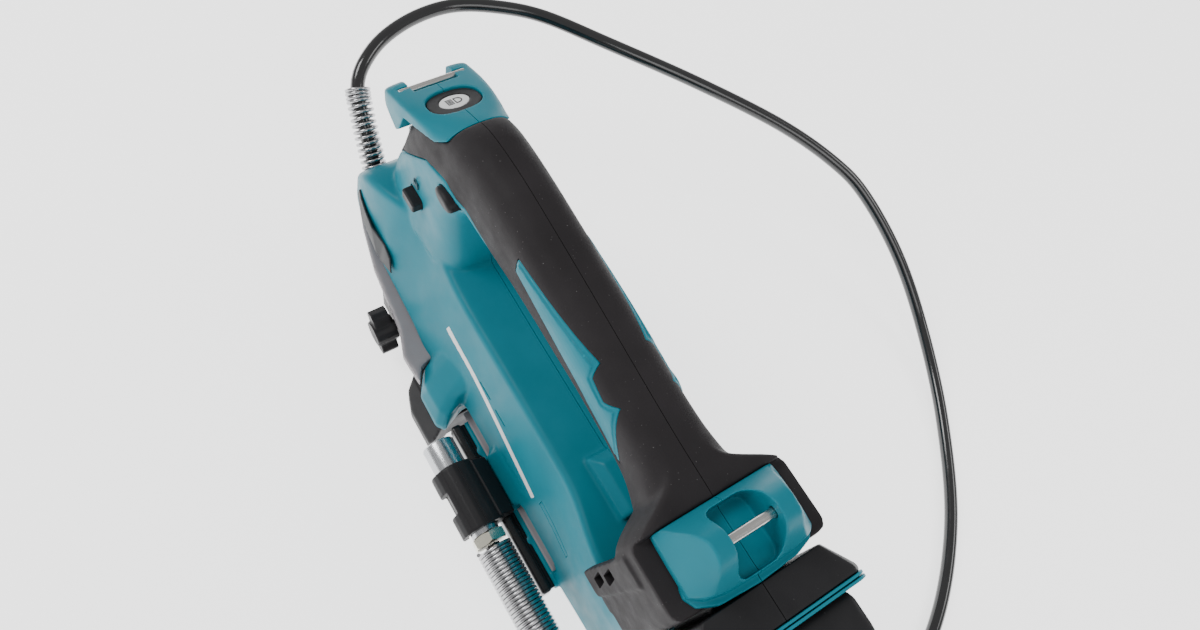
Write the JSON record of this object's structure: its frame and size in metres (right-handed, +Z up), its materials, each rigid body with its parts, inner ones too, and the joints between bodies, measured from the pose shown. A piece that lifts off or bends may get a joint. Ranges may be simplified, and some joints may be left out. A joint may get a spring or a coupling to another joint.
{
  "type": "battery grease gun",
  "caption": "Battery grease gun with a D-handle, pump head, cartridge barrel, sliding battery and a stored hose with a coupler.",
  "frame": {"origin": "centre of the front foot's flat underside", "axes": "+X forward along the barrel to the pump head, +Y to the tool's left, +Z up"},
  "size_m": [0.5533, 0.3966, 0.238],
  "materials": {
    "teal_plastic": "smooth moulded, satin",
    "grip_rubber": "matte overmould with a fine grain",
    "dark_plastic": "moulded, matte",
    "pad_rubber": "matte",
    "clear_plastic": "clear moulded lens",
    "bright_steel": "bright zinc plate or ground steel",
    "cast_metal": "die cast, painted silver-grey",
    "brass_metal": "machined",
    "copper_wire": "wound copper",
    "circuit_board": "coated board",
    "hose_rubber": "smooth and glossy"
  },
  "bodies": {
    "tool": {"barrel": "cast_metal", "barrel_cradle": "cast_metal", "battery_mount": "dark_plastic", "check_valve_plug": "brass_metal", "control_board": "circuit_board", "coupler": "bright_steel", "follower_spring": "bright_steel", "front_cover_left": "teal_plastic", "front_cover_right": "teal_plastic", "front_foot": "dark_plastic", "front_strap_bar": "bright_steel", "gear_case": "cast_metal", "grip_insert_left": "teal_plastic", "grip_insert_right": "teal_plastic", "grip_rubber_left": "grip_rubber", "grip_rubber_right": "grip_rubber", "head_casting": "cast_metal", "head_pad_left": "pad_rubber", "head_pad_right": "pad_rubber", "hose": "hose_rubber", "hose_guard_front": "bright_steel", "hose_guard_rear": "bright_steel", "hose_holder": "dark_plastic", "hose_nut": "brass_metal", "housing_left": "teal_plastic", "housing_right": "teal_plastic", "housing_screw_1": "dark_plastic", "housing_screw_2": "dark_plastic", "lamp_lens": "clear_plastic", "motor_bearing": "bright_steel", "motor_can": "dark_plastic", "outlet_fitting": "brass_metal", "rear_cap": "bright_steel", "rear_cover_left": "teal_plastic", "rear_cover_right": "teal_plastic", "rear_strap_bar": "bright_steel", "ring_gear": "bright_steel", "selector_plate": "dark_plastic", "side_rail": "dark_plastic", "terminal_block": "dark_plastic", "trigger_spring": "bright_steel", "trigger_switch": "dark_plastic"},
    "trigger": {"trigger": "dark_plastic"},
    "trigger_lock": {"trigger_lock": "dark_plastic"},
    "lock_on_button": {"lock_on_button": "dark_plastic"},
    "light_button": {"light_button": "dark_plastic"},
    "rotor": {"motor_rotor": "copper_wire", "cooling_fan": "dark_plastic"},
    "carrier": {"planet_carrier": "bright_steel"},
    "planet_1": {"planet_gear_1": "bright_steel"},
    "planet_2": {"planet_gear_2": "bright_steel"},
    "planet_3": {"planet_gear_3": "bright_steel"},
    "pump": {"pump_plunger": "bright_steel"},
    "selector": {"selector_knob": "dark_plastic"},
    "bleeder": {"bleed_valve": "brass_metal"},
    "plunger": {"plunger_rod": "bright_steel", "plunger_handle": "dark_plastic", "follower": "dark_plastic"},
    "battery": {"battery_case": "dark_plastic"},
    "battery_latch": {"battery_release": "pad_rubber"}
  },
  "joints": [
    {"name": "trigger_pull", "type": "slide", "parent": "tool", "child": "trigger", "axis": [0, 0, 1], "range_m": [0, 0.006], "stiffness_N_per_m": 400, "springref_m": -0.002, "deforming": ["trigger_spring"]},
    {"name": "trigger_lock_slide", "type": "slide", "parent": "tool", "child": "trigger_lock", "axis": [0, -1, 0], "range_m": [0, 0.003]},
    {"name": "lock_on_press", "type": "slide", "parent": "tool", "child": "lock_on_button", "axis": [0, -1, 0], "range_m": [0, 0.003], "stiffness_N_per_m": 300, "springref_m": -0.001},
    {"name": "light_press", "type": "slide", "parent": "tool", "child": "light_button", "axis": [-0.4225, 0, -0.9064], "range_m": [0, 0.0012], "stiffness_N_per_m": 500, "springref_m": -0.001},
    {"name": "rotor_spin", "type": "hinge", "parent": "tool", "child": "rotor", "pos_m": [-0.06, 0, 0.088], "axis": [1, 0, 0], "continuous": true},
    {"name": "carrier_spin", "type": "hinge", "parent": "tool", "child": "carrier", "pos_m": [-0.02, 0, 0.088], "axis": [1, 0, 0], "continuous": true},
    {"name": "planet_1_spin", "type": "hinge", "parent": "carrier", "child": "planet_1", "pos_m": [-0.027, 0, 0.1], "axis": [1, 0, 0], "continuous": true},
    {"name": "planet_2_spin", "type": "hinge", "parent": "carrier", "child": "planet_2", "pos_m": [-0.027, 0.01039, 0.082], "axis": [1, 0, 0], "continuous": true},
    {"name": "planet_3_spin", "type": "hinge", "parent": "carrier", "child": "planet_3", "pos_m": [-0.027, -0.01039, 0.082], "axis": [1, 0, 0], "continuous": true},
    {"name": "pump_stroke", "type": "slide", "parent": "tool", "child": "pump", "axis": [0, 0, -1], "range_m": [0, 0.014]},
    {"name": "selector_turn", "type": "hinge", "parent": "tool", "child": "selector", "pos_m": [0.057, 0.05, 0.03], "axis": [0, 1, 0], "range_deg": [0, 90]},
    {"name": "bleed_turn", "type": "hinge", "parent": "tool", "child": "bleeder", "pos_m": [0.104, -0.03, 0.026], "axis": [0, 1, 0], "range_deg": [0, 180]},
    {"name": "plunger_pull", "type": "slide", "parent": "tool", "child": "plunger", "axis": [-1, 0, 0], "range_m": [0, 0.2], "stiffness_N_per_m": 120, "springref_m": -0.05, "deforming": ["follower_spring"]},
    {"name": "battery_slide", "type": "slide", "parent": "tool", "child": "battery", "axis": [0, 0, 1], "range_m": [0, 0.11]},
    {"name": "latch_press", "type": "slide", "parent": "battery", "child": "battery_latch", "axis": [0, 0, -1], "range_m": [0, 0.002], "stiffness_N_per_m": 600, "springref_m": -0.001}
  ],
  "couplings": [
    {"joint": "carrier_spin", "follows": "rotor_spin", "ratio": 0.1875},
    {"joint": "planet_1_spin", "follows": "rotor_spin", "ratio": -0.4875},
    {"joint": "planet_2_spin", "follows": "rotor_spin", "ratio": -0.4875},
    {"joint": "planet_3_spin", "follows": "rotor_spin", "ratio": -0.4875}
  ]
}
